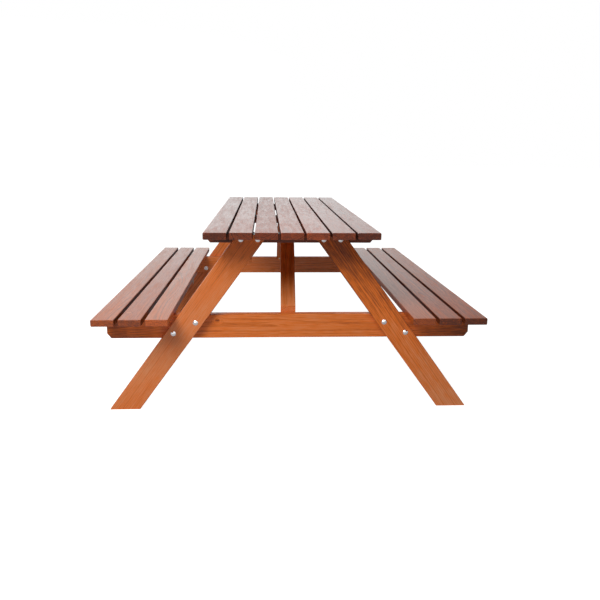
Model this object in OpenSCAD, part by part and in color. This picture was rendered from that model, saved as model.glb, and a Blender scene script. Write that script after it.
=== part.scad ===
// Picnic table with two attached benches, in planed and stained softwood.
// Two A-shaped end frames, each two sloping legs bolted to a seat beam and to a
// top cleat, carry a top of seven boards and two seats of three boards.
// X runs across the benches, Y along the boards and Z up. The origin is on the
// ground below the middle of the top. Left is -X and front is -Y.

/* [Overall] */
// Length of the top and of both seats
table_length = 1800; // [1700:10:2000]
// Height of the top's upper face
table_height = 731; // [715:1:745]
// Height of the seats' upper faces
seat_height = 410; // [400:1:425]
// Width over the outer edges of the two seats
overall_width = 1478; // [1474:2:1490]

/* [Boards] */
// Width of every top and seat board
board_w = 85; // [83:1:86]
// Thickness of every top and seat board
board_t = 26; // [24:1:30]
// Rounding along the boards' long edges
board_edge_r = 4; // [2:0.5:6]
// Rounding across the boards' ends
board_end_r = 2; // [1:0.5:4]
// Gap between neighbouring boards of the top
top_gap = 8.5; // [6:0.5:9]
// Gap between neighbouring boards of a seat
seat_gap = 13.5; // [10:0.5:14]

/* [Frame timber] */
// Width of the planks that make the legs and the seat beams
plank_w = 97; // [94:1:99]
// Thickness of the planks
plank_t = 35; // [32:1:38]
// Width of the battens that make the cleats, seat battens and braces
batten_w = 60; // [50:1:64]
// Thickness of the battens
batten_t = 35; // [33:1:36]
// Rounding along the long edges of planks and battens
frame_edge_r = 3; // [1:0.5:5]

/* [Legs] */
// Lean of each leg from upright, in degrees
leg_lean = 36.2; // [35.8:0.1:36.4]
// Width over the outer corners of the feet
foot_spread = 1446; // [1440:2:1450]
// Distance from the ends of the boards to the outer faces of the legs
leg_setback = 144; // [120:2:180]

/* [Seat beams and cleats] */
// Length of each seat beam
beam_length = 1450; // [1444:2:1460]
// Length of the chamfer at a seat beam's lower corners
beam_chamfer_run = 16; // [8:1:18]
// Height of that chamfer
beam_chamfer_rise = 20; // [8:1:30]
// Length of each top cleat
cleat_length = 642; // [630:2:646]
// Length of the batten under each seat's middle
seat_batten_length = 270; // [250:2:280]
// Length of the chamfer at the lower corners of cleats and seat battens
cleat_chamfer_run = 9; // [4:1:12]
// Height of that chamfer
cleat_chamfer_rise = 12; // [4:1:16]

/* [Braces] */
// Rise of each brace from level, in degrees
brace_slope = 39; // [37:0.5:41]
// How far a brace's lower end reaches below the top of the seat beam
brace_overlap = 18; // [16:1:20]
// How far the front brace's lower end stands off the middle, to the left
front_brace_offset = 7.5; // [0:0.5:10]
// Distance between the two screws at each end of a brace
brace_screw_spacing = 28; // [20:1:34]

/* [Bolts] */
// Thread diameter of the carriage bolts
bolt_d = 8; // [8]
// Diameter of the domed heads
bolt_head_d = 20.6; // [19.5:0.1:21]
// Height of the domed heads
bolt_head_h = 4.7; // [4.4:0.1:5]
// Width of the square neck under the head
bolt_neck_w = 8.4; // [8.1:0.1:8.5]
// Length of the square neck
bolt_neck_h = 4.5; // [4:0.1:5]
// Length of the bolts through leg and seat beam
beam_bolt_length = 80; // [80:5:90]
// Length of the bolts through leg and top cleat
cleat_bolt_length = 110; // [110:5:120]
// Diameter of the drilled bolt holes
bolt_hole_d = 9; // [8.5:0.1:9.5]
// Height of the lower bolt above the bottom edge of the seat beam
low_bolt_rise = 28; // [25:1:30]
// Depth of the upper bolt below the top edge of the seat beam
high_bolt_drop = 26; // [24:1:30]
// Distance of the seat beam bolts from the long edges of the leg
bolt_edge = 26; // [24:1:30]
// Distance between the two bolts of a leg in the top cleat
cleat_bolt_spacing = 65; // [62:1:67]
// Outer diameter of the washers
washer_d = 24; // [20:1:24]
// Thickness of the washers
washer_t = 2; // [1.6:0.1:2]
// Width of the hexagon nuts across their flats
nut_flats = 13; // [13]
// Height of the hexagon nuts
nut_h = 6.8; // [6.3:0.1:6.8]

/* [Screws] */
// Shank diameter of the wood screws
screw_d = 4.5; // [4:0.1:5]
// Diameter of the countersunk heads
screw_head_d = 8.8; // [8.5:0.1:9]
// Length of the screws that hold the boards
board_screw_length = 50; // [48:1:54]
// Length of the screws at the upper end of a brace
brace_top_screw_length = 40; // [38:1:42]
// Length of the screws at the lower end of a brace
brace_foot_screw_length = 35; // [33:1:38]
// Distance of the two screws from a board's middle line
screw_offset = 22; // [18:1:24]

/* [Hidden] */
$fn = 48;

// Stained and metal colours
board_stain = "#8d5a49";
frame_stain = "#b9642f";
zinc = "#c9cbcd";
screw_zinc = "#b3a98c";

// Which side or end a piece belongs to
left = -1;
right = 1;
front = -1;
back = 1;

top_board_count = 7;
seat_board_count = 3;

// Heights of the undersides and of the seat beams
top_under = table_height - board_t;
seat_under = seat_height - board_t;
beam_bottom = seat_under - plank_w;
cleat_bottom = top_under - batten_t;

// Distances from the middle of the table along Y, to the faces of an end frame
leg_outer_y = table_length / 2 - leg_setback;
leg_inner_y = leg_outer_y - plank_t;
beam_inner_y = leg_inner_y - plank_t;
cleat_inner_y = leg_inner_y - batten_w;
beam_mid_y = leg_inner_y - plank_t / 2;
cleat_mid_y = leg_inner_y - batten_w / 2;

// Middle line of a leg: its distance from the middle of the table at height z
foot_mid_x = foot_spread / 2 - plank_w / 2 / cos(leg_lean);
function leg_mid_x(z) = foot_mid_x - z * tan(leg_lean);

// Bolts of the right leg, as [x, z]
low_bolt_z = beam_bottom + low_bolt_rise;
high_bolt_z = seat_under - high_bolt_drop;
beam_bolt_shift = (plank_w / 2 - bolt_edge) / cos(leg_lean);
beam_bolt_points = [
    [leg_mid_x(low_bolt_z) + beam_bolt_shift, low_bolt_z],
    [leg_mid_x(high_bolt_z) - beam_bolt_shift, high_bolt_z],
];
cleat_bolt_z = top_under - batten_t / 2;
cleat_bolt_points = [for (s = [-1, 1]) [leg_mid_x(cleat_bolt_z) + s * cleat_bolt_spacing / 2, cleat_bolt_z]];

// Clearances between a fastener and the hole that it sits in
neck_clearance = 0.2;
thread_clearance = 0.1;
washer_clearance = 0.4;
pilot_clearance = 0.1;
shank_clearance = 0.5;
counterbore_d = screw_head_d + 1.2;

// Proportions of a wood screw
screw_head_h = (screw_head_d - screw_d) / 2;
screw_tip_h = 7;
screw_tip_d = 0.6;
recess_w = 1.1;
recess_span = 4.6;
recess_depth = 2;

// Screw lines across each seat board, measured outward from its middle line. The
// outer board's pair moves inward to stay clear of the seat beam's chamfer.
seat_screw_offsets = [
    [-screw_offset, screw_offset],
    [-screw_offset, screw_offset],
    [-screw_offset - 5, 3],
];

// Where the screws of a brace enter it
brace_foot_z = seat_under - brace_overlap;
brace_top_y = beam_inner_y - (top_under - brace_foot_z) / tan(brace_slope);
brace_top_screw_inset = 20;
brace_top_screw_y = brace_top_y + brace_top_screw_inset;
brace_top_screw_z = top_under - brace_top_screw_inset * tan(brace_slope);
brace_foot_screw_rise = 11;
brace_foot_screw_z = brace_foot_z + brace_foot_screw_rise;
brace_foot_screw_seat = 11;

// The front brace turns a little about its upper end, so that its foot is off the middle
function brace_offset(end) = end == front ? front_brace_offset : 0;
function brace_turn(end) = -atan(brace_offset(end) / (beam_inner_y - brace_top_y));

function top_board_x(i) = (i - (top_board_count + 1) / 2) * (board_w + top_gap);
function seat_board_x(i) =
    overall_width / 2 - board_w / 2 - (seat_board_count - i) * (board_w + seat_gap);
// Screw positions across the seat board i, counted from the inner board
function seat_screw_xs(i) = [for (s = seat_screw_offsets[i - 1]) seat_board_x(i) + s];
function brace_screw_xs() = [-brace_screw_spacing / 2, brace_screw_spacing / 2];

// ---- placing -------------------------------------------------------------

// Children are drawn at the right and front, and mirrored where they belong
module at_side(side) {
    if (side == right) children();
    else mirror([1, 0, 0]) children();
}

module at_end(end) {
    if (end == front) children();
    else mirror([0, 1, 0]) children();
}

// ---- timber shapes -------------------------------------------------------

module rounded_rect(w, h, r) {
    square([w - 2 * r, h], center = true);
    square([w, h - 2 * r], center = true);
    for (x = [-1, 1], y = [-1, 1])
        translate([x * (w / 2 - r), y * (h / 2 - r)]) circle(r);
}

// Board along Y, centred on the origin, with all of its edges rounded
module plain_board() {
    intersection() {
        rotate([90, 0, 0])
            linear_extrude(table_length + 2, center = true)
                rounded_rect(board_w, board_t, board_edge_r);
        rotate([90, 0, 90])
            linear_extrude(board_w + 2, center = true)
                rounded_rect(table_length, board_t, board_end_r);
    }
}

// Bar along X, centred on the origin, with its lower corners cut off
module chamfered_bar(length, depth, height, run, rise) {
    end = length / 2;
    low = height / 2;
    intersection() {
        rotate([90, 0, 90])
            linear_extrude(length + 2, center = true)
                rounded_rect(depth, height, frame_edge_r);
        rotate([90, 0, 0])
            linear_extrude(depth + 2, center = true)
                polygon([
                    [-end, height], [end, height],
                    [end, rise - low], [end - 2 * run, -rise - low],
                    [2 * run - end, -rise - low], [-end, rise - low],
                ]);
    }
}

module cleat_bar(length) {
    chamfered_bar(length, batten_w, batten_t, cleat_chamfer_run, cleat_chamfer_rise);
}

// ---- fasteners and their holes -------------------------------------------

// Countersunk screw along +Z, with the flat of its head at the origin
module screw(length) {
    difference() {
        union() {
            cylinder(h = screw_head_h, d1 = screw_head_d, d2 = screw_d);
            cylinder(h = length - screw_tip_h, d = screw_d);
            translate([0, 0, length - screw_tip_h])
                cylinder(h = screw_tip_h, d1 = screw_d, d2 = screw_tip_d);
        }
        for (turn = [0, 90])
            rotate([0, 0, turn])
                translate([-recess_span / 2, -recess_w / 2, -1])
                    cube([recess_span, recess_w, recess_depth + 1]);
    }
}

// Countersunk clearance hole for a screw whose head is at the origin
module screw_clearance(depth) {
    cylinder(h = depth, d = screw_d + shank_clearance);
    translate([0, 0, -0.1])
        cylinder(
            h = screw_head_h + 0.1,
            d1 = screw_head_d + shank_clearance + 0.2,
            d2 = screw_d + shank_clearance
        );
}

// Pilot hole for a screw whose head is at the origin
module screw_pilot(length) {
    cylinder(h = length + 1, d = screw_d + pilot_clearance);
}

// Domed bolt along +Y, with the underside of its head at the origin
module carriage_bolt(length) {
    dome_r = (pow(bolt_head_d / 2, 2) + pow(bolt_head_h, 2)) / 2 / bolt_head_h;
    rotate([90, 0, 0]) {
        intersection() {
            translate([0, 0, bolt_head_h - dome_r]) sphere(dome_r);
            cylinder(h = bolt_head_h + 1, d = bolt_head_d + 1);
        }
        translate([0, 0, -bolt_neck_h / 2]) cube([bolt_neck_w, bolt_neck_w, bolt_neck_h], center = true);
        translate([0, 0, -length]) cylinder(h = length, d = bolt_d);
    }
}

// Round hole along +Y that starts at the origin
module bolt_hole(depth) {
    rotate([-90, 0, 0])
        translate([0, 0, -1])
            cylinder(h = depth + 2, d = bolt_hole_d);
}

// Square seat that the neck of a bolt presses into the wood
module neck_seat() {
    w = bolt_neck_w + neck_clearance;
    translate([-w / 2, -1, -w / 2]) cube([w, bolt_neck_h + neck_clearance + 1, w]);
}

// Washer along +Y, with its outer face at the origin
module washer() {
    rotate([-90, 0, 0])
        difference() {
            cylinder(h = washer_t, d = washer_d);
            translate([0, 0, -1]) cylinder(h = washer_t + 2, d = bolt_d + washer_clearance);
        }
}

// Hexagon nut along +Y, with its outer face at the origin
module nut() {
    rotate([-90, 0, 0])
        difference() {
            cylinder(h = nut_h, d = nut_flats / cos(30), $fn = 6);
            translate([0, 0, -1]) cylinder(h = nut_h + 2, d = bolt_d + thread_clearance);
        }
}

// Children at each bolt of the front frame, on the plane at distance y
module at_bolts(points, y) {
    for (side = [left, right])
        at_side(side)
            for (p = points)
                translate([p[0], -y, p[1]]) children();
}

// ---- boards --------------------------------------------------------------

module top_board(i) {
    color(board_stain)
    difference() {
        translate([top_board_x(i), 0, table_height - board_t / 2]) plain_board();
        for (y = [-cleat_mid_y, 0, cleat_mid_y], x = [-screw_offset, screw_offset])
            translate([top_board_x(i) + x, y, cleat_bottom]) screw_pilot(board_screw_length);
        if (i == (top_board_count + 1) / 2)
            for (end = [front, back])
                at_end(end) brace_top_screws(end) screw_pilot(brace_top_screw_length);
    }
}

module seat_board(side, i) {
    screw_base = seat_under - batten_t;
    color(board_stain)
    at_side(side)
    difference() {
        translate([seat_board_x(i), 0, seat_height - board_t / 2]) plain_board();
        for (y = [-beam_mid_y, 0, beam_mid_y], x = seat_screw_xs(i))
            translate([x, y, screw_base]) screw_pilot(board_screw_length);
    }
}

// ---- end frames ----------------------------------------------------------

module leg(side, end) {
    color(frame_stain)
    at_end(end)
    at_side(side)
    difference() {
        intersection() {
            translate([foot_mid_x, -leg_outer_y + plank_t / 2, 0])
                rotate([0, -leg_lean, 0])
                    linear_extrude(4 * top_under, center = true)
                        rounded_rect(plank_w, plank_t, frame_edge_r);
            translate([0, -table_length / 2, 0])
                cube([overall_width, table_length / 2, top_under]);
        }
        for (p = concat(beam_bolt_points, cleat_bolt_points))
            translate([p[0], -leg_outer_y, p[1]]) {
                bolt_hole(plank_t);
                neck_seat();
            }
    }
}

module seat_beam(end) {
    // The screws' heads sit in deep counterbores from the beam's lower edge
    head_z = seat_under - batten_t;
    color(frame_stain)
    at_end(end)
    difference() {
        translate([0, -beam_mid_y, seat_under - plank_w / 2])
            chamfered_bar(beam_length, plank_t, plank_w, beam_chamfer_run, beam_chamfer_rise);
        at_bolts(beam_bolt_points, leg_inner_y) bolt_hole(plank_t);
        for (side = [left, right], i = [1:seat_board_count])
            at_side(side)
                for (x = seat_screw_xs(i))
                    translate([x, -beam_mid_y, head_z]) {
                        screw_clearance(board_screw_length);
                        translate([0, 0, -plank_w]) cylinder(h = plank_w, d = counterbore_d);
                    }
        brace_foot_screws(end) screw_pilot(brace_foot_screw_length);
    }
}

module top_cleat_at(y) {
    translate([0, y, top_under - batten_t / 2]) cleat_bar(cleat_length);
}

module top_cleat_holes(y) {
    for (i = [1:top_board_count], x = [-screw_offset, screw_offset])
        translate([top_board_x(i) + x, y, cleat_bottom]) screw_clearance(board_screw_length);
}

module top_cleat(end) {
    color(frame_stain)
    at_end(end)
    difference() {
        top_cleat_at(-cleat_mid_y);
        top_cleat_holes(-cleat_mid_y);
        at_bolts(cleat_bolt_points, leg_inner_y) bolt_hole(batten_w);
    }
}

module top_cleat_middle() {
    color(frame_stain)
    difference() {
        top_cleat_at(0);
        top_cleat_holes(0);
    }
}

module seat_batten(side) {
    color(frame_stain)
    at_side(side)
    difference() {
        translate([seat_board_x(2), 0, seat_under - batten_t / 2]) cleat_bar(seat_batten_length);
        for (i = [1:seat_board_count], x = seat_screw_xs(i))
            translate([x, 0, seat_under - batten_t]) screw_clearance(board_screw_length);
    }
}

// ---- braces --------------------------------------------------------------

// Turns a brace, drawn at the front, about the middle of its upper end
module turned_brace(end) {
    translate([0, -brace_top_y, 0]) rotate([0, 0, brace_turn(end)]) translate([0, brace_top_y, 0]) children();
}

// Children at the two screws through a brace into the middle board
module brace_top_screws(end) {
    turned_brace(end)
        for (x = brace_screw_xs())
            translate([x, -brace_top_screw_y, brace_top_screw_z]) rotate([brace_slope, 0, 0]) children();
}

// Children at the two screws through a brace into the seat beam
module brace_foot_screws(end) {
    for (x = brace_screw_xs())
        translate([x - brace_offset(end), brace_foot_screw_seat - beam_inner_y, brace_foot_screw_z])
            rotate([90, 0, 0]) children();
}

module brace(end) {
    reach = table_length / 2;
    color(frame_stain)
    at_end(end)
    difference() {
        intersection() {
            turned_brace(end)
                translate([0, -beam_inner_y, brace_foot_z])
                    rotate([brace_slope, 0, 0])
                        translate([0, 0, batten_t / 2])
                            rotate([90, 0, 0])
                                linear_extrude(2 * reach, center = true)
                                    rounded_rect(batten_w, batten_t, frame_edge_r);
            translate([-batten_w, -beam_inner_y, 0]) cube([2 * batten_w, beam_inner_y, top_under]);
        }
        brace_top_screws(end) screw_clearance(brace_top_screw_length);
        brace_foot_screws(end) {
            screw_clearance(brace_foot_screw_length);
            translate([0, 0, -2 * batten_t]) cylinder(h = 2 * batten_t, d = counterbore_d);
        }
    }
}

// ---- fastener groups -----------------------------------------------------

module beam_bolts(end) {
    color(zinc) at_end(end) at_bolts(beam_bolt_points, leg_outer_y) carriage_bolt(beam_bolt_length);
}

module cleat_bolts(end) {
    color(zinc) at_end(end) at_bolts(cleat_bolt_points, leg_outer_y) carriage_bolt(cleat_bolt_length);
}

module washers(end) {
    color(zinc)
    at_end(end) {
        at_bolts(beam_bolt_points, beam_inner_y) washer();
        at_bolts(cleat_bolt_points, cleat_inner_y) washer();
    }
}

module nuts(end) {
    color(zinc)
    at_end(end) {
        at_bolts(beam_bolt_points, beam_inner_y - washer_t) nut();
        at_bolts(cleat_bolt_points, cleat_inner_y - washer_t) nut();
    }
}

module top_screws(y) {
    color(screw_zinc)
    for (i = [1:top_board_count], x = [-screw_offset, screw_offset])
        translate([top_board_x(i) + x, y, cleat_bottom]) screw(board_screw_length);
}

module seat_screws(side) {
    color(screw_zinc)
    at_side(side)
    for (i = [1:seat_board_count], x = seat_screw_xs(i), y = [-beam_mid_y, 0, beam_mid_y])
        translate([x, y, seat_under - batten_t]) screw(board_screw_length);
}

module brace_screws(end) {
    color(screw_zinc)
    at_end(end) {
        brace_top_screws(end) screw(brace_top_screw_length);
        brace_foot_screws(end) screw(brace_foot_screw_length);
    }
}

// ---- assembly ------------------------------------------------------------

top_board(1);  // top_board_1
top_board(2);  // top_board_2
top_board(3);  // top_board_3
top_board(4);  // top_board_4
top_board(5);  // top_board_5
top_board(6);  // top_board_6
top_board(7);  // top_board_7
seat_board(left, 1);  // left_seat_board_1
seat_board(left, 2);  // left_seat_board_2
seat_board(left, 3);  // left_seat_board_3
seat_board(right, 1);  // right_seat_board_1
seat_board(right, 2);  // right_seat_board_2
seat_board(right, 3);  // right_seat_board_3
leg(left, front);  // leg_front_left
leg(right, front);  // leg_front_right
leg(left, back);  // leg_back_left
leg(right, back);  // leg_back_right
seat_beam(front);  // seat_beam_front
seat_beam(back);  // seat_beam_back
top_cleat(front);  // top_cleat_front
top_cleat_middle();
top_cleat(back);  // top_cleat_back
seat_batten(left);  // seat_batten_left
seat_batten(right);  // seat_batten_right
brace(front);  // brace_front
brace(back);  // brace_back
beam_bolts(front);  // beam_bolts_front
beam_bolts(back);  // beam_bolts_back
cleat_bolts(front);  // cleat_bolts_front
cleat_bolts(back);  // cleat_bolts_back
washers(front);  // washers_front
washers(back);  // washers_back
nuts(front);  // nuts_front
nuts(back);  // nuts_back
top_screws(-cleat_mid_y);  // top_screws_front
top_screws(0);  // top_screws_middle
top_screws(cleat_mid_y);  // top_screws_back
seat_screws(left);  // seat_screws_left
seat_screws(right);  // seat_screws_right
brace_screws(front);  // brace_screws_front
brace_screws(back);  // brace_screws_back
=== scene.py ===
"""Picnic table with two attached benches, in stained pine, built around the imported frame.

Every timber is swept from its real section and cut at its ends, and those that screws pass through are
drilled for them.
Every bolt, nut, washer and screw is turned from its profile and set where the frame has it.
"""
import bmesh
import bpy
import math
import random
from mathutils import Matrix, Vector


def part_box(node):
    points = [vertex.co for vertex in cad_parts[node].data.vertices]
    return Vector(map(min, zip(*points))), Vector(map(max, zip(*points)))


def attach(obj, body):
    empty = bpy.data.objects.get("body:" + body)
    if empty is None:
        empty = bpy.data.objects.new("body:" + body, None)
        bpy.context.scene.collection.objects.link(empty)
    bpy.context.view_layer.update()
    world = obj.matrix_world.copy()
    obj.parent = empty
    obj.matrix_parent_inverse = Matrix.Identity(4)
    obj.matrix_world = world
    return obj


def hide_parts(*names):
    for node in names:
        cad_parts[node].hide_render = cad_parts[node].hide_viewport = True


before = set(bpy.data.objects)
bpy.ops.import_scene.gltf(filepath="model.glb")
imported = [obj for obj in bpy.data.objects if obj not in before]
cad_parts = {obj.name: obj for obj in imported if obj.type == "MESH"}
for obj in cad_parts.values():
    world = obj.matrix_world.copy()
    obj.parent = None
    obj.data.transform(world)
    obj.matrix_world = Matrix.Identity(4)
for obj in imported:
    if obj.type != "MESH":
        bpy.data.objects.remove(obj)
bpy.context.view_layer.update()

MM = 0.001
X = Vector((1, 0, 0))
Y = Vector((0, 1, 0))
Z = Vector((0, 0, 1))
FRONT = -1
BACK = 1
LEFT = -1
RIGHT = 1

# Sections of the timber, and the easing of its edges
PLANK_W = 97 * MM
PLANK_T = 35 * MM
BATTEN_W = 60 * MM
BATTEN_T = 35 * MM
BOARD_EDGE_R = 4 * MM
BOARD_END_R = 2 * MM
FRAME_EDGE_R = 3 * MM
FRAME_END_R = 1 * MM
LEG_LEAN = math.radians(36.2)
BRACE_SLOPE = math.radians(39)

# Run and rise of the corners cut off the beams and the battens
BEAM_CHAMFER = (16 * MM, 20 * MM)
BATTEN_CHAMFER = (9 * MM, 12 * MM)

# Painted shade on board sides, deeper in the gaps between boards than on the outer sides, and how far in
# from a cut end a timber's painted end shade reaches
GAP_SIDE_PAINTED_SHADE = 0.75
OUTER_SIDE_PAINTED_SHADE = 0.42
END_REACH = 220 * MM

# Hardware in mm: the height of a bolt's head, the bolts' lengths and the bore cut before a screw's head
BOLT_HEAD_H = 4.7
BOLT_LENGTHS = {"beam_bolts_": 80, "cleat_bolts_": 110}
BORE_DEPTH = 90

# Corners round each turned part
SEGMENTS = {"bolt": 32, "washer": 40, "nut": 60, "screw": 48, "drill": 24}

# Strengths of the studio's light: all round, from the wall behind, lost higher up the wall, from above,
# and at the front for reflections only
AMBIENT = 0.04
WALL_GLOW = 1.04
WALL_HIGH_LOSS = 0.55
OVERHEAD_GLOW = 0.12
MIRROR_GLOW = 1.0
WALL_WAY = Vector((-0.5, 0.85, 0)).normalized()

# The key light, in metres and watts
KEY_PLACE = Vector((-1.5, -3.3, 3.1))
KEY_TARGET = Vector((0, -0.3, 0.4))
KEY_SIZE = 1.8
KEY_POWER = 116

# The camera, in metres, with its lens in mm
CAMERA_PLACE = Vector((-0.09725, -3.2007, 1.0201))
CAMERA_YAW = math.radians(3.132)
CAMERA_PITCH = math.radians(13.119)
CAMERA_ROLL = math.radians(0.535)
CAMERA_LENS = 38.5


# ---- placing -----------------------------------------------------------------


def middle_of(node):
    low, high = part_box(node)
    return (low + high) / 2


def solids_of(node):
    """The corners of each separate solid in a CAD node."""
    mesh = bmesh.new()
    mesh.from_mesh(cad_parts[node].data)
    bmesh.ops.remove_doubles(mesh, verts=mesh.verts, dist=0.001 * MM)
    waiting = set(mesh.verts)
    solids = []
    while waiting:
        found = [waiting.pop()]
        solid = []
        while found:
            corner = found.pop()
            solid.append(corner.co.copy())
            for edge in corner.link_edges:
                other = edge.other_vert(corner)
                if other in waiting:
                    waiting.remove(other)
                    found.append(other)
        solids.append(solid)
    mesh.free()
    return sorted(solids, key=lambda solid: tuple(round(c, 4) for c in min(solid, key=tuple)))


def aimed(origin, axis):
    """A placing that puts +Z along an axis."""
    turn = axis.to_track_quat("Z", "Y").to_matrix().to_4x4()
    return Matrix.Translation(origin) @ turn


def outward_places(node, end, reach):
    """A placing for each solid on a line along Y, at a distance from its outer face, aimed inward."""
    places = []
    for solid in solids_of(node):
        middle = (Vector(map(min, *solid)) + Vector(map(max, *solid))) / 2
        outer_y = max(end * corner.y for corner in solid)
        origin = Vector((middle.x, end * (outer_y - reach), middle.z))
        places.append(aimed(origin, -end * Y))
    return places


def screw_places(node, axes=(Z,)):
    """A placing and a length for each screw in a CAD node: at the flat of its head, aimed at its tip."""
    places = []
    for solid in solids_of(node):
        axis = max(axes, key=lambda a: max(p.dot(a) for p in solid) - min(p.dot(a) for p in solid))
        aim = aimed(Vector(), axis)
        turned = [aim.inverted() @ corner for corner in solid]
        low = Vector(map(min, *turned))
        high = Vector(map(max, *turned))
        head = aim @ Vector(((low.x + high.x) / 2, (low.y + high.y) / 2, low.z))
        places.append((aimed(head, axis), high.z - low.z))
    return places


def brace_screw_axes(end):
    """The ways that a brace's screws point: into the seat beam, and square to the brace."""
    return end * Y, Vector((0, end * math.sin(BRACE_SLOPE), math.cos(BRACE_SLOPE)))


# ---- making pieces -----------------------------------------------------------


def mesh_object(name, mesh):
    """A smooth-shaded object whose flat faces stay flat beside their rounded edges."""
    data = bpy.data.meshes.new(name)
    mesh.to_mesh(data)
    mesh.free()
    for face in data.polygons:
        face.use_smooth = True
    data.set_sharp_from_angle(angle=math.radians(40))
    piece = bpy.data.objects.new(name, data)
    bpy.context.scene.collection.objects.link(piece)
    flatten = piece.modifiers.new("flat faces", "WEIGHTED_NORMAL")
    flatten.keep_sharp = True
    flatten.weight = 100
    return piece


def stand_for(piece, node, material):
    piece.data.materials.append(material)
    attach(piece, "root")
    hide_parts(node)


# ---- turned metal parts --------------------------------------------------------


def turn_into(mesh, rings, segments, place, closed=False):
    """Adds a turned surface to a mesh. A ring is (radius, height) in mm, or a function of the angle."""
    rows = []
    for ring in rings:
        row = []
        for step in range(segments):
            angle = 2 * math.pi * step / segments
            radius, height = ring(angle) if callable(ring) else ring
            point = Vector((radius * math.cos(angle), radius * math.sin(angle), height))
            row.append(mesh.verts.new(place @ (point * MM)))
        rows.append(row)
    pairs = list(zip(rows, rows[1:]))
    if closed:
        pairs.append((rows[-1], rows[0]))
    for low, high in pairs:
        for step in range(segments):
            after = (step + 1) % segments
            mesh.faces.new((low[step], low[after], high[after], high[step]))
    if not closed:
        mesh.faces.new(rows[0][::-1])
        mesh.faces.new(rows[-1])


def square_ring(width, height):
    def ring(angle):
        return width / 2 / max(abs(math.cos(angle)), abs(math.sin(angle))), height
    return ring


def thread_rings(low, high, radius, depth, pitch):
    """Rings of a right-hand screw thread between two heights."""
    count = round((high - low) / pitch * 6)

    def ring_at(height):
        def ring(angle):
            turn = (height / pitch - angle / 2 / math.pi) % 1
            return radius - depth * abs(2 * turn - 1), height
        return ring
    return [ring_at(low + (high - low) * i / count) for i in range(count + 1)]


def bolt_rings(length, head_d=20.6, head_h=BOLT_HEAD_H, neck_w=8.4, neck_h=4.5, shank_d=8.0):
    """A carriage bolt along +Z, with the underside of its domed head at 0."""
    dome_h = head_h - 0.5
    dome_r = ((head_d / 2) ** 2 + dome_h ** 2) / 2 / dome_h
    dome_slope = math.asin(head_d / 2 / dome_r)
    core = shank_d / 2 - 0.3
    rings = [(0.05, -head_h)]
    for i in range(1, 11):
        slope = dome_slope * i / 10
        rings.append((dome_r * math.sin(slope), -head_h + dome_r * (1 - math.cos(slope))))
    rings += [(head_d / 2, -0.25), (head_d / 2 - 0.25, 0)]
    rings += [square_ring(neck_w, 0), square_ring(neck_w, neck_h - 1), square_ring(neck_w - 0.6, neck_h)]
    rings += [(core, neck_h + 0.3), (core, length - 18)]
    rings += thread_rings(length - 17.5, length - 0.9, shank_d / 2, 0.65, 1.25)
    rings += [(core - 0.5, length - 0.1), (core - 0.7, length), (0.05, length)]
    return rings


def nut_rings(flats=13.0, height=6.8, bore_d=8.0):
    """A hexagon nut along +Z from 0, with the corners of both faces turned off."""
    corner_slope = math.tan(math.radians(30))
    face_r = flats / 2 - 0.3
    bore_r = bore_d / 2 - 0.3

    def corner_r(angle):
        return flats / 2 / math.cos((angle + math.pi / 6) % (math.pi / 3) - math.pi / 6)

    def hexagon(level, side):
        def ring(angle):
            radius = corner_r(angle)
            return radius, level - side * (radius - face_r) * corner_slope
        return ring
    low = [(bore_r, 0.8), (bore_r + 0.8, 0), (face_r, 0), hexagon(0, -1)]
    high = [hexagon(height, 1), (face_r, height), (bore_r + 0.8, height), (bore_r, height - 0.8)]
    return low + high


def washer_rings(outer_d=24.0, hole_d=8.4, height=2.0, ease=0.35):
    """A plain washer along +Z from 0, with softened edges as punched."""
    inner = hole_d / 2
    outer = outer_d / 2
    low = [(inner, ease), (inner + ease, 0), (outer - ease, 0), (outer - 0.1, 0.1), (outer, ease)]
    return low + [(radius, height - level) for radius, level in reversed(low)]


def screw_rings(length, head_d=8.8, shank_d=4.5, recess_span=4.6, recess_w=1.1, recess_depth=2.0):
    """A countersunk screw along +Z, with the flat of its head at 0 and a cross recess in it."""
    def cross(scale, height):
        def ring(angle):
            arm = (angle + math.pi / 4) % (math.pi / 2) - math.pi / 4
            reach = recess_w / 2 / max(abs(math.sin(arm)), 0.01)
            return scale * min(recess_span / 2, reach), height
        return ring
    head_h = (head_d - shank_d) / 2
    core = shank_d / 2 - 0.6
    rings = [(0.05, recess_depth), cross(0.55, recess_depth - 0.1), cross(1, 0)]
    rings += [(head_d / 2 - 0.2, 0), (head_d / 2, 0.15), (core + 0.2, head_h), (core, head_h + 1)]
    rings += [(core, length - 7), (0.1, length)]
    return rings


def drill_rings(depth, bore_r=5.0, sink_r=4.75, shank_r=2.5, head_h=2.15):
    """A cutter for a countersunk hole along +Z, with a bore before it for a head set deep."""
    return [(bore_r, -depth), (bore_r, -0.02), (sink_r, 0), (shank_r, head_h), (shank_r, 24)]


def make_metal(node, material, rings_and_places, segments, closed=False):
    mesh = bmesh.new()
    for rings, place in rings_and_places:
        turn_into(mesh, rings, segments, place, closed)
    bmesh.ops.recalc_face_normals(mesh, faces=mesh.faces)
    stand_for(mesh_object(node + "_detail", mesh), node, material)


def make_screws(node, places, material):
    parts = [(screw_rings(length / MM), place) for place, length in places]
    make_metal(node, material, parts, SEGMENTS["screw"])


# ---- timber ------------------------------------------------------------------


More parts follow.
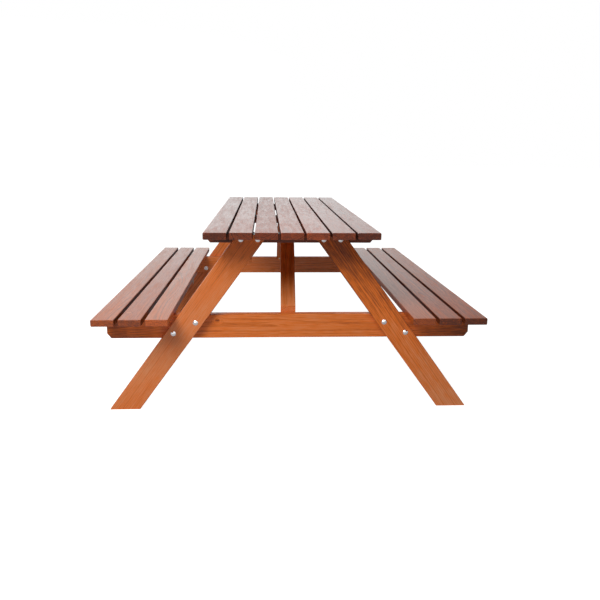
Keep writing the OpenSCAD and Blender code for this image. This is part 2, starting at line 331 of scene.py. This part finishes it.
class Timber:
    """A straight timber: its axes, its section and the planes that cut its ends.

    u runs along the grain, v across the section's width and w through its thickness.
    """

    arc_steps = 6
    rim_steps = 4
    stations = 16
    # Painted shade on the low and high narrow sides, which boards set
    low_side_painted_shade = 0.0
    high_side_painted_shade = 0.0
    end_soak = 0.1
    edge_wear = -1.3
    end_figure = 0.2
    side_dullness = 0.0

    def __init__(self, middle, along, across, width, thickness, cuts, edge_r, end_r, levels=()):
        self.middle = middle
        self.along = along.normalized()
        self.across = across.normalized()
        self.through = self.along.cross(self.across)
        self.width = width
        self.thickness = thickness
        self.edge_r = edge_r
        self.end_r = end_r
        self.levels = list(levels)
        self.cuts = [self.cut_plane(point, normal) for point, normal in cuts]

    def cut_plane(self, point, normal):
        """A cutting plane as its end and the numbers of u = start + v_rate v + w_rate w."""
        pace = normal.dot(self.along)
        start = (point - self.middle).dot(normal) / pace
        return pace > 0, start, -normal.dot(self.across) / pace, -normal.dot(self.through) / pace

    def end_at(self, far, v, w):
        """Where along u the timber ends at a place in its section."""
        cuts = [cut for side, *cut in self.cuts if side == far]
        reaches = [start + v_rate * v + w_rate * w for start, v_rate, w_rate in cuts]
        return min(reaches) if far else max(reaches)

    def outline(self, inset):
        """Levels of the section from one edge to the other, as (v, half thickness there)."""
        half_v = self.width / 2 - inset
        half_w = self.thickness / 2 - inset
        radius = max(self.edge_r - inset, 0.1 * MM)
        arc = [math.pi / 2 * i / self.arc_steps for i in range(self.arc_steps + 1)]
        low = [(-half_v + radius * (1 - math.cos(a)), half_w - radius * (1 - math.sin(a))) for a in arc]
        high = [(-v, w) for v, w in reversed(low)]
        return low + [(v, half_w) for v in self.levels] + high

    def place(self, u, v, w):
        return self.middle + self.along * u + self.across * v + self.through * w

    def local(self, point):
        offset = point - self.middle
        return offset.dot(self.along), offset.dot(self.across), offset.dot(self.through)

    def ring(self, mesh, levels, u_at):
        """A loop of corners round the section, up one side and down the other."""
        near = [mesh.verts.new(self.place(u_at(v, w), v, w)) for v, w in levels]
        away = [mesh.verts.new(self.place(u_at(v, -w), v, -w)) for v, w in levels]
        return near, away

    def rim_ring(self, mesh, far, turn):
        inset = self.end_r * (1 - math.cos(turn))
        back = self.end_r * (1 - math.sin(turn))

        def u_at(v, w):
            return self.end_at(far, v, w) + (-back if far else back)
        return self.ring(mesh, self.outline(inset), u_at)

    def middle_ring(self, mesh, share):
        def u_at(v, w):
            near = self.end_at(False, v, w) + self.end_r
            far = self.end_at(True, v, w) - self.end_r
            return near + (far - near) * share
        return self.ring(mesh, self.outline(0), u_at)

    def solid(self):
        """A mesh of the timber with the rims of its ends eased over."""
        mesh = bmesh.new()
        turns = [math.pi / 2 * i / self.rim_steps for i in range(self.rim_steps + 1)]
        rings = [self.rim_ring(mesh, False, turn) for turn in reversed(turns)]
        rings += [self.middle_ring(mesh, i / self.stations) for i in range(1, self.stations)]
        rings += [self.rim_ring(mesh, True, turn) for turn in turns]
        for before, after in zip(rings, rings[1:]):
            loop_a = before[0] + before[1][::-1]
            loop_b = after[0] + after[1][::-1]
            for i in range(len(loop_a)):
                j = (i + 1) % len(loop_a)
                mesh.faces.new((loop_a[i], loop_a[j], loop_b[j], loop_b[i]))
        for near, away in (rings[0], rings[-1]):
            for i in range(len(near) - 1):
                mesh.faces.new((near[i], near[i + 1], away[i + 1], away[i]))
        bmesh.ops.recalc_face_normals(mesh, faces=mesh.faces)
        return mesh

    def edge_share(self, v, w):
        """1 on the middle of a rounded long edge, 0 on the flats."""
        distance = max(self.width / 2 - abs(v), self.thickness / 2 - abs(w))
        return min(max((self.edge_r - distance) / (0.7 * self.edge_r), 0), 1)

    def side_share(self, v):
        """1 on the narrow faces, 0 on the wide ones."""
        distance = self.width / 2 - abs(v)
        return min(max(1.2 - 3 * distance / self.edge_r, 0), 1)

    # Painted shade on the narrow side that a point is on
    def side_painted_shade(self, v):
        return self.low_side_painted_shade if v < 0 else self.high_side_painted_shade

    def end_distance(self, u, v, w):
        return min(u - self.end_at(False, v, w), self.end_at(True, v, w) - u)

    def end_share(self, u, v, w):
        """1 on a cut end, 0 from its rim inward."""
        return min(max(1 - self.end_distance(u, v, w) / self.end_r, 0), 1)

    def near_end(self, u, v, w):
        """The share of a log's painted end shade: 1 at a cut end, falling to 0 a hand's width or two in."""
        return max(1 - self.end_distance(u, v, w) / END_REACH, 0)


def board(node, low_outer=False, high_outer=False):
    """A board along Y, with painted shade on its narrow sides, deeper where they face another board across a
    gap.
    """
    low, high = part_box(node)
    size = high - low
    cuts = [(low, -Y), (high, Y)]
    plank = Timber(middle_of(node), Y, X, size.x, size.z, cuts, BOARD_EDGE_R, BOARD_END_R)
    plank.low_side_painted_shade = OUTER_SIDE_PAINTED_SHADE if low_outer else GAP_SIDE_PAINTED_SHADE
    plank.high_side_painted_shade = OUTER_SIDE_PAINTED_SHADE if high_outer else GAP_SIDE_PAINTED_SHADE
    plank.end_soak = 0.48
    plank.edge_wear = 1.0
    plank.end_figure = 0.9
    plank.side_dullness = 0.6
    return plank


def leg(node, side):
    low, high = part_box(node)
    along = Vector((-side * math.sin(LEG_LEAN), 0, math.cos(LEG_LEAN)))
    across = Vector((math.cos(LEG_LEAN), 0, side * math.sin(LEG_LEAN)))
    cuts = [(low, -Z), (high, Z)]
    return Timber(middle_of(node), along, across, PLANK_W, PLANK_T, cuts, FRAME_EDGE_R, FRAME_END_R)


def chamfered_bar(node, chamfer):
    """A bar along X, with its lower corners cut off."""
    run, rise = chamfer
    low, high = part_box(node)
    size = high - low
    cuts = [(low, -X), (high, X)]
    for side, end_x in ((LEFT, low.x), (RIGHT, high.x)):
        cuts.append((Vector((end_x, middle_of(node).y, low.z + rise)), Vector((side * rise, 0, -run))))
    levels = [rise - size.z / 2]
    return Timber(middle_of(node), X, Z, size.z, size.y, cuts, FRAME_EDGE_R, FRAME_END_R, levels)


def brace(node, end):
    """A brace from the inner face of its seat beam up to the underside of the boards."""
    low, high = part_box(node)
    foot = Vector((low.x + BATTEN_W / 2, low.y if end == FRONT else high.y, low.z))
    run = (high.z - low.z) / math.tan(BRACE_SLOPE)
    head = Vector((0, foot.y - end * run, high.z))
    along = (head - foot).normalized()
    across = along.cross(Z).normalized() * -end
    middle = (foot + head) / 2 + across.cross(along).normalized() * BATTEN_T / 2
    if middle.z < (foot.z + head.z) / 2:
        middle = (foot + head) - middle
    cuts = [(foot, end * Y), (head, Z)]
    return Timber(middle, along, across, BATTEN_W, BATTEN_T, cuts, FRAME_EDGE_R, FRAME_END_R)


# A knot is its u, v and radius in mm, and how much darker it is. This one is beyond the end of any timber.
FAR_KNOT = (9000, 9000, 1, 0)


class Log:
    """Where in its tree a timber was cut, how it took the stain and the varnish, and the shade painted on
    it.

    The pith's place in (v, w) and the ring width are in mm, and start is along the stem.
    tone darkens all of it, painted_shade_drift paints shade that deepens per metre of u, and
    painted_end_shade paints shade toward its cut ends.
    figure is the contrast of its rings, and shine adds to its varnish.
    """

    def __init__(self, pith_v, pith_w, ring_w=3.6, start=0.0, tone=0.0, figure=1.0, knots=(),
                 painted_shade_drift=0.0, painted_end_shade=0.0, shine=0.0):
        self.pith_v = pith_v * MM
        self.pith_w = pith_w * MM
        self.ring_w = ring_w * MM
        self.start = start
        self.tone = tone
        self.figure = figure
        self.knots = list(knots)
        self.painted_shade_drift = painted_shade_drift
        self.painted_end_shade = painted_end_shade
        self.shine = shine


def any_log(seed, tone=None, knots=()):
    """A cut of its own for each seed, mostly flat-sawn, with a tone of its own where none is given."""
    dice = random.Random(seed)
    pith_v = dice.uniform(-45, 45)
    pith_w = dice.choice((-1, 1)) * dice.uniform(30, 110)
    ring_w = dice.uniform(2.8, 4.6)
    start = dice.uniform(0, 40)
    own_tone = dice.uniform(-0.06, 0.06)
    figure = dice.uniform(0.7, 1.2)
    return Log(pith_v, pith_w, ring_w, start, own_tone if tone is None else tone, figure, knots)


def note_grain(data, timber, log):
    """Writes each corner's place in its tree and round two knots, its tone with painted shade and its wear,
    and its look, for the wood.
    """
    for name in ("grain", "tone_shade_wear", "look", "knot_a", "knot_b"):
        data.attributes.new(name, "FLOAT_VECTOR", "POINT")
    grain = data.attributes["grain"]
    tone_shade_wear = data.attributes["tone_shade_wear"]
    knot_a = data.attributes["knot_a"]
    knot_b = data.attributes["knot_b"]
    look = data.attributes["look"]
    knots = (log.knots + [FAR_KNOT, FAR_KNOT])[:2]
    for i, corner in enumerate(data.vertices):
        u, v, w = timber.local(corner.co)
        rings_v = (v - log.pith_v) / log.ring_w
        rings_w = (w - log.pith_w) / log.ring_w
        grain.data[i].vector = (u + log.start, rings_v, rings_w)
        side = timber.side_share(v)
        end = timber.end_share(u, v, w)
        # The tone holds painted shade: on board sides, along some timbers and toward some cut ends.
        tone = log.tone + log.painted_shade_drift * u + timber.side_painted_shade(v) * side
        tone += log.painted_end_shade * timber.near_end(u, v, w)
        worn = timber.edge_wear * timber.edge_share(v, w)
        tone_shade_wear.data[i].vector = (tone + timber.end_soak * end, worn, end)
        look.data[i].vector = (log.figure + timber.end_figure * end, timber.side_dullness * side, log.shine)
        for layer, (knot_u, knot_v, knot_r, knot_tone) in ((knot_a, knots[0]), (knot_b, knots[1])):
            reach = knot_r * MM
            layer.data[i].vector = ((u - knot_u * MM) / reach / 1.3, (v - knot_v * MM) / reach, knot_tone)


def drill(piece, places):
    """Cuts the holes for screws out of a piece."""
    mesh = bmesh.new()
    for place in places:
        turn_into(mesh, drill_rings(BORE_DEPTH), SEGMENTS["drill"], place)
    bmesh.ops.recalc_face_normals(mesh, faces=mesh.faces)
    cutter = mesh_object("cutter", mesh)
    cutter.modifiers.clear()
    flatten = piece.modifiers[0]
    flatten.show_viewport = False
    cut = piece.modifiers.new("holes", "BOOLEAN")
    cut.operation = "DIFFERENCE"
    cut.solver = "EXACT"
    cut.object = cutter
    bpy.context.view_layer.update()
    evaluated = piece.evaluated_get(bpy.context.evaluated_depsgraph_get())
    data = bpy.data.meshes.new_from_object(evaluated)
    piece.modifiers.remove(cut)
    piece.data = data
    flatten.show_viewport = True
    bpy.data.objects.remove(cutter)


def make_timber(node, timber, material, log, screws=()):
    piece = mesh_object(node + "_timber", timber.solid())
    if screws:
        drill(piece, screws)
    note_grain(piece.data, timber, log)
    stand_for(piece, node, material)


# ---- materials -----------------------------------------------------------------


class Nodes:
    """Short ways to lay out a material's nodes."""

    def __init__(self, owner, shader="Principled BSDF"):
        owner.use_nodes = True
        self.tree = owner.node_tree
        self.shader = self.tree.nodes[shader]

    def add(self, kind, inputs, output=0, **settings):
        """Adds a node with its settings, fills its inputs with values or links, and returns an output."""
        node = self.tree.nodes.new("ShaderNode" + kind)
        for name, value in settings.items():
            setattr(node, name, value)
        for key, value in inputs.items():
            if isinstance(value, bpy.types.NodeSocket):
                self.tree.links.new(value, node.inputs[key])
            else:
                node.inputs[key].default_value = value
        return node.outputs[output]

    def math(self, operation, a, b=0.0, clamp=False):
        return self.add("Math", {0: a, 1: b}, operation=operation, use_clamp=clamp)

    def sum(self, *terms):
        """The sum of weighted terms, each a (value, weight) pair, or a plain value."""
        total = 0.0
        for term in terms:
            value, weight = term if isinstance(term, tuple) else (term, 1.0)
            total = self.add("Math", {0: value, 1: weight, 2: total}, operation="MULTIPLY_ADD")
        return total

    def step(self, value, low, high):
        """A smooth step from 0 at low to 1 at high."""
        ends = {"Value": value, "From Min": low, "From Max": high}
        return self.add("MapRange", ends, interpolation_type="SMOOTHSTEP")

    def less(self, value):
        """1 less a value."""
        return self.math("SUBTRACT", 1.0, value)

    def attribute(self, name):
        return self.add("Attribute", {}, "Vector", attribute_name=name)

    def parts(self, vector):
        node = self.add("SeparateXYZ", {0: vector}).node
        return node.outputs[0], node.outputs[1], node.outputs[2]

    def stretched(self, vector, along, across):
        return self.add("VectorMath", {0: vector, 1: (along, across, across)}, operation="MULTIPLY")

    def noise(self, vector, along, across, detail=2.0, output="Fac"):
        """Noise drawn out along the grain: waves per metre along, waves per growth ring across."""
        inputs = {"Vector": self.stretched(vector, along, across), "Scale": 1.0, "Detail": detail}
        return self.add("TexNoise", inputs, output)

    def use(self, socket, value):
        if isinstance(value, bpy.types.NodeSocket):
            self.tree.links.new(value, self.shader.inputs[socket])
        else:
            self.shader.inputs[socket].default_value = value


def swing(value, depth):
    """Terms for a sum that a value from 0 to 1 moves up and down by half a depth."""
    return (value, depth), -depth / 2


def knot_shares(nodes, name, grain):
    """How much darker a knot makes a point, how near its rim that is, and how far the grain bends there."""
    wobble = nodes.noise(grain, 60, 0.5, 1.0)
    layer = nodes.attribute(name)
    reach = nodes.add("VectorMath", {0: layer, 1: (1, 1, 0)}, operation="MULTIPLY")
    distance = nodes.add("VectorMath", {0: reach}, "Value", operation="LENGTH")
    distance = nodes.sum(distance, (wobble, 0.5), -0.25)
    inside = nodes.less(nodes.step(distance, 0.75, 1.0))
    darker = nodes.math("MULTIPLY", inside, nodes.parts(layer)[2])
    rim = nodes.math("MULTIPLY", nodes.step(distance, 0.7, 1.0), nodes.less(nodes.step(distance, 1.0, 1.35)))
    bend = nodes.less(nodes.step(distance, 0.9, 3.6))
    return darker, rim, bend


def stained_pine(name, pale, middle, dark, ring_depth, streak_depth, fleck_depth):
    """Stained pine, cut from logs: growth rings, fibres, knots, soaked end grain, rubbed edges and the
    painted shade in its tone.
    """
    material = bpy.data.materials.new(name)
    nodes = Nodes(material)
    grain = nodes.attribute("grain")
    # The tone carries painted shade as well as the stain's own tone.
    tone, edge, end = nodes.parts(nodes.attribute("tone_shade_wear"))
    figure, dullness, shine = nodes.parts(nodes.attribute("look"))
    darker_a, rim_a, bend_a = knot_shares(nodes, "knot_a", grain)
    darker_b, rim_b, bend_b = knot_shares(nodes, "knot_b", grain)

    # Growth rings round a pith that wanders along the stem
    sway = nodes.noise(grain, 1.2, 0.02, 1.0, "Color")
    sway = nodes.add("VectorMath", {0: sway, 1: (0, 7, 7), 2: (0, -3.5, -3.5)}, operation="MULTIPLY_ADD")
    across = nodes.add("VectorMath", {0: grain, 1: (0, 1, 1), 2: sway}, operation="MULTIPLY_ADD")
    radius = nodes.add("VectorMath", {0: across}, "Value", operation="LENGTH")
    along, _, _ = nodes.parts(grain)
    ripple = nodes.noise(grain, 5, 0.25, 2.0)
    ring = nodes.sum(radius, (along, 1.8), (ripple, 1.1), (bend_a, -2.4), (bend_b, -2.4))
    uneven = nodes.add("TexNoise", {"W": ring, "Scale": 0.4, "Detail": 0.0}, noise_dimensions="1D")
    ring = nodes.sum(ring, (uneven, 1.6))
    share = nodes.math("FRACT", ring)
    late = nodes.math("MULTIPLY", nodes.step(share, 0.42, 0.9), nodes.less(nodes.step(share, 0.92, 1.0)))
    each = nodes.add("TexWhiteNoise", {"W": nodes.math("FLOOR", ring)}, "Value", noise_dimensions="1D")
    late = nodes.math("MULTIPLY", late, nodes.sum(0.55, (each, 0.45)))
    late = nodes.math("MULTIPLY", late, figure)

    # Fibres, streaks of stain and short resin marks
    fibre = nodes.noise(grain, 14, 9, 3.0)
    fleck = nodes.noise(grain, 24, 1.0, 4.0)
    streak = nodes.noise(grain, 3, 1.4, 3.0)
    cloud = nodes.noise(grain, 2.6, 0.1, 2.0)
    mottle = nodes.noise(grain, 9, 0.25, 3.0)
    resin = nodes.step(nodes.noise(grain, 36, 7, 0.0), 0.7, 0.78)
    rubbed = nodes.math("MULTIPLY", edge, nodes.step(nodes.noise(grain, 9, 0.2, 2.0), 0.35, 0.75))

    # How dark the stain and the painted shade make it, and its colour
    depth = nodes.sum(0.33, tone, (late, ring_depth), *swing(fibre, 0.34), *swing(fleck, fleck_depth))
    depth = nodes.sum(depth, (rubbed, -0.3), *swing(streak, streak_depth), (resin, 0.12))
    depth = nodes.sum(depth, *swing(cloud, 0.4), *swing(mottle, 0.4))
    depth = nodes.sum(depth, darker_a, darker_b, (rim_a, 0.3), (rim_b, 0.3))
    ramp = nodes.add("ValToRGB", {"Fac": depth}, "Color")
    stops = ramp.node.color_ramp.elements
    stops[0].position = 0.0
    stops[0].color = (*pale, 1)
    stops[1].position = 1.0
    stops[1].color = (*dark, 1)
    stops.new(0.45).color = (*middle, 1)
    lines = nodes.less(nodes.sum((late, 0.32), *swing(fibre, 0.12)))
    nodes.use("Base Color", nodes.add("VectorMath", {0: ramp, "Scale": lines}, operation="SCALE"))

    # Bare wood under a patchy varnish
    nodes.use("Roughness", nodes.sum(0.4, *swing(streak, 0.14), (late, -0.05), (end, 0.25)))
    nodes.use("Specular IOR Level", 0.15)
    varnish = nodes.sum(shine, -0.28, (cloud, 0.7), (mottle, 1.3), (fleck, 0.2))
    nodes.use("Coat Weight", nodes.math("MULTIPLY", varnish, nodes.less(dullness), clamp=True))
    nodes.use("Coat Roughness", 0.18)
    nodes.use("Coat IOR", 1.4)
    height = nodes.sum((late, 1.0), (fibre, 0.7), (resin, -0.5), (rim_a, 1.0), (rim_b, 1.0))
    nodes.use("Normal", nodes.add("Bump", {"Height": height, "Distance": 0.03 * MM, "Strength": 1.0}))
    return material


def zinc_plate(name, colour, roughness):
    """Plated steel with a faint cloudy bloom and fine scuffs."""
    material = bpy.data.materials.new(name)
    nodes = Nodes(material)
    place = nodes.add("NewGeometry", {}, "Position")
    bloom = nodes.add("TexNoise", {"Vector": place, "Scale": 260.0, "Detail": 3.0})
    scuff = nodes.add("TexNoise", {"Vector": place, "Scale": 1800.0, "Detail": 2.0})
    shade = nodes.sum(0.82, (bloom, 0.3), (scuff, 0.06))
    tint = nodes.add("VectorMath", {0: colour, "Scale": shade}, operation="SCALE")
    nodes.use("Base Color", tint)
    nodes.use("Metallic", 1.0)
    nodes.use("Roughness", nodes.sum(roughness - 0.08, (bloom, 0.16), (scuff, 0.08)))
    nodes.use("Normal", nodes.add("Bump", {"Height": scuff, "Distance": 0.01 * MM, "Strength": 0.5}))
    return material


# ---- the table -----------------------------------------------------------------


# Tone, shine and knots of the boards, left to right on the top and outward from the top on the seats
TOP_TONES = (0.07, -0.05, -0.02, -0.15, -0.25, -0.04, 0.08)
TOP_SHINES = (0.0, -0.04, -0.16, -0.03, 0.05, 0.14, 0.14)
SEAT_TONES = {"left": (-0.33, -0.04, -0.15), "right": (-0.22, 0.05, 0.08)}
SEAT_SHINES = {"left": (0.0, 0.05, 0.0), "right": (0.2, 0.1, 0.05)}
BOARD_KNOTS = {"top_board_3": [(-430, 12, 8, 0.3)], "left_seat_board_2": [(-790, -22, 12, -0.35)]}


def make_boards(top_wood, seat_wood):
    for i in range(1, 8):
        node = f"top_board_{i}"
        log = any_log(i, TOP_TONES[i - 1], BOARD_KNOTS.get(node, []))
        log.shine = TOP_SHINES[i - 1]
        make_timber(node, board(node, i == 1, i == 7), top_wood, log)
    for s, side in enumerate(("left", "right")):
        for i in range(1, 4):
            node = f"{side}_seat_board_{i}"
            log = any_log(20 + 3 * s + i, SEAT_TONES[side][i - 1], BOARD_KNOTS.get(node, []))
            # The right seat's boards get painted shade: darker toward their front ends, lighter toward their
            # back ends.
            log.painted_shade_drift = -0.12 * s
            log.shine = SEAT_SHINES[side][i - 1]
            inner = i == 1
            outer = i == 3
            faces = (outer, inner) if side == "left" else (inner, outer)
            make_timber(node, board(node, *faces), seat_wood, log)


def near_y(places, y):
    """The places, of places with lengths, that are within half a batten of a level along Y."""
    return [place for place, length in places if abs(place.translation.y - y) < BATTEN_W / 2]


# Timbers with a grain and a tone of their own, and painted shade: the front legs and the front brace darker
# toward their upper ends under the table, the front left leg also at its foot, and the front seat beam
# toward its ends under the seats. The rest take any log.
CHOSEN_LOGS = {
    "leg_front_left": Log(-85, 40, 3.2, 3.1, -0.07, 0.6, painted_shade_drift=0.3, painted_end_shade=0.2),
    "leg_front_right": Log(95, -30, 7.5, 8.4, 0.1, 0.7, painted_shade_drift=0.75, shine=-0.45),
    "seat_beam_front": Log(4, -70, 3.4, 12.2, 0.04, 0.6, [(-290, 25, 6, 0.4)], painted_end_shade=0.4, shine=-0.45),
    "seat_beam_back": Log(-20, 80, 3.8, 21.5, 0.0, 0.8, [(-190, 36, 7, 0.4)]),
    "brace_front": Log(10, 60, 3.0, 5.5, 0.07, 0.7, painted_shade_drift=1.1, shine=-0.55),
}


def make_frames(frame_wood):
    top_screws = {name: screw_places("top_screws_" + name) for name in ("front", "middle", "back")}
    seat_screws = {name: screw_places("seat_screws_" + name) for name in ("left", "right")}
    for e, (name, end) in enumerate((("front", FRONT), ("back", BACK))):
        for s, (side_name, side) in enumerate((("left", LEFT), ("right", RIGHT))):
            node = f"leg_{name}_{side_name}"
            log = CHOSEN_LOGS.get(node, any_log(40 + 2 * e + s))
            make_timber(node, leg(node, side), frame_wood, log)
        node = "seat_beam_" + name
        y = middle_of(node).y
        holes = near_y(seat_screws["left"] + seat_screws["right"], y)
        log = CHOSEN_LOGS.get(node, any_log(50 + e))
        make_timber(node, chamfered_bar(node, BEAM_CHAMFER), frame_wood, log, holes)
        node = "brace_" + name
        holes = [place for place, length in screw_places("brace_screws_" + name, brace_screw_axes(end))]
        log = CHOSEN_LOGS.get(node, any_log(55 + e))
        make_timber(node, brace(node, end), frame_wood, log, holes)
    for e, name in enumerate(("front", "middle", "back")):
        node = "top_cleat_" + name
        holes = [place for place, length in top_screws[name]]
        # The cleats get a dark tone of 0.7: painted shade for the shadow under the table top.
        log = any_log(60 + e, 0.7)
        make_timber(node, chamfered_bar(node, BATTEN_CHAMFER), frame_wood, log, holes)
    for s, name in enumerate(("left", "right")):
        node = "seat_batten_" + name
        holes = near_y(seat_screws[name], 0)
        log = any_log(70 + s)
        make_timber(node, chamfered_bar(node, BATTEN_CHAMFER), frame_wood, log, holes)


def make_hardware(zinc, screw_steel):
    for name, end in (("front", FRONT), ("back", BACK)):
        for kind, length in BOLT_LENGTHS.items():
            places = outward_places(kind + name, end, BOLT_HEAD_H * MM)
            parts = [(bolt_rings(length), place) for place in places]
            make_metal(kind + name, zinc, parts, SEGMENTS["bolt"])
        parts = [(washer_rings(), place) for place in outward_places("washers_" + name, end, 0)]
        make_metal("washers_" + name, zinc, parts, SEGMENTS["washer"], closed=True)
        parts = [(nut_rings(), place) for place in outward_places("nuts_" + name, end, 0)]
        make_metal("nuts_" + name, zinc, parts, SEGMENTS["nut"], closed=True)
        places = screw_places("brace_screws_" + name, brace_screw_axes(end))
        make_screws("brace_screws_" + name, places, screw_steel)
    for name in ("top_screws_front", "top_screws_middle", "top_screws_back"):
        make_screws(name, screw_places(name), screw_steel)
    for name in ("seat_screws_left", "seat_screws_right"):
        make_screws(name, screw_places(name), screw_steel)


# ---- stage, camera and light -----------------------------------------------------


def make_camera():
    data = bpy.data.cameras.new("camera")
    data.lens = CAMERA_LENS
    data.sensor_width = 36
    camera = bpy.data.objects.new("camera", data)
    bpy.context.scene.collection.objects.link(camera)
    level_ahead = Vector((math.sin(CAMERA_YAW), math.cos(CAMERA_YAW), 0))
    level_right = Vector((math.cos(CAMERA_YAW), -math.sin(CAMERA_YAW), 0))
    ahead = level_ahead * math.cos(CAMERA_PITCH) - Z * math.sin(CAMERA_PITCH)
    level_up = level_right.cross(ahead)
    right = level_right * math.cos(CAMERA_ROLL) + level_up * math.sin(CAMERA_ROLL)
    up = level_up * math.cos(CAMERA_ROLL) - level_right * math.sin(CAMERA_ROLL)
    pose = Matrix((right, up, -ahead)).transposed().to_4x4()
    pose.translation = CAMERA_PLACE
    camera.matrix_world = pose
    bpy.context.scene.camera = camera


def make_world():
    """A studio with a broad wall of light behind, which the camera itself sees as plain white."""
    world = bpy.data.worlds.new("studio")
    bpy.context.scene.world = world
    nodes = Nodes(world, "Background")
    direction = nodes.add("TexCoord", {}, "Generated")
    _, backward, height = nodes.parts(direction)

    # The wall dims from its middle outward, loses light with height and ends below the zenith
    facing = nodes.add("VectorMath", {0: direction, 1: WALL_WAY}, "Value", operation="DOT_PRODUCT")
    wall = nodes.step(facing, math.cos(math.radians(70)), math.cos(math.radians(20)))
    fade = nodes.less(nodes.step(height, 0.6, 0.85))
    level = nodes.sum(WALL_GLOW, (nodes.step(height, 0.12, 0.32), -WALL_HIGH_LOSS))
    glow = nodes.math("MULTIPLY", nodes.math("MULTIPLY", wall, fade), level)
    glow = nodes.sum(AMBIENT, glow, (nodes.step(height, 0.2, 0.6), OVERHEAD_GLOW))

    seen = nodes.add("LightPath", {}, "Is Camera Ray")
    mirrored = nodes.add("LightPath", {}, "Is Glossy Ray")
    mirrored_front = nodes.math("MULTIPLY", mirrored, nodes.step(backward, 0.1, -0.3))
    glow = nodes.sum(glow, (mirrored_front, MIRROR_GLOW))
    nodes.use("Strength", nodes.math("MAXIMUM", glow, seen))
    nodes.use("Color", (1, 1, 1, 1))


def make_key_light():
    data = bpy.data.lights.new("key", "AREA")
    data.shape = "SQUARE"
    data.size = KEY_SIZE
    data.energy = KEY_POWER
    key = bpy.data.objects.new("key", data)
    bpy.context.scene.collection.objects.link(key)
    key.matrix_world = aimed(KEY_PLACE, KEY_PLACE - KEY_TARGET)


def make_floor():
    """A pale floor that glows for the camera only, so that it looks as white as the world behind it."""
    data = bpy.data.meshes.new("floor")
    far = 40
    corners = [(-far, -far, 0), (far, -far, 0), (far, far, 0), (-far, far, 0)]
    data.from_pydata(corners, [], [(0, 1, 2, 3)])
    floor = bpy.data.objects.new("floor", data)
    bpy.context.scene.collection.objects.link(floor)
    material = bpy.data.materials.new("floor")
    nodes = Nodes(material)
    nodes.use("Base Color", (0.7, 0.7, 0.7, 1))
    nodes.use("Roughness", 0.9)
    nodes.use("Specular IOR Level", 0.0)
    nodes.use("Emission Color", (1, 1, 1, 1))
    seen = nodes.add("LightPath", {}, "Is Camera Ray")
    nodes.use("Emission Strength", nodes.sum((seen, 0.95)))
    data.materials.append(material)


# The stain of each wood from pale to dark, and how deep its rings, streaks and flecks go
TOP_STAIN = {
    "pale": (0.55, 0.14, 0.072),
    "middle": (0.38, 0.077, 0.025),
    "dark": (0.07, 0.016, 0.009),
    "ring_depth": 0.1,
    "streak_depth": 0.5,
    "fleck_depth": 0.7,
}
SEAT_STAIN = {
    "pale": (0.78, 0.23, 0.085),
    "middle": (0.57, 0.115, 0.02),
    "dark": (0.12, 0.024, 0.007),
    "ring_depth": 0.1,
    "streak_depth": 0.45,
    "fleck_depth": 0.7,
}
FRAME_STAIN = {
    "pale": (0.8, 0.3, 0.125),
    "middle": (0.78, 0.18, 0.022),
    "dark": (0.16, 0.03, 0.008),
    "ring_depth": 0.2,
    "streak_depth": 0.3,
    "fleck_depth": 0.7,
}

make_camera()
make_world()
make_key_light()
make_floor()
top_wood = stained_pine("top_wood", **TOP_STAIN)
seat_wood = stained_pine("seat_wood", **SEAT_STAIN)
frame_wood = stained_pine("frame_wood", **FRAME_STAIN)
zinc = zinc_plate("zinc_steel", (0.82, 0.83, 0.85), 0.15)
screw_steel = zinc_plate("screw_steel", (0.72, 0.66, 0.5), 0.3)
make_boards(top_wood, seat_wood)
make_frames(frame_wood)
make_hardware(zinc, screw_steel)
bpy.context.scene.view_settings.view_transform = "Standard"
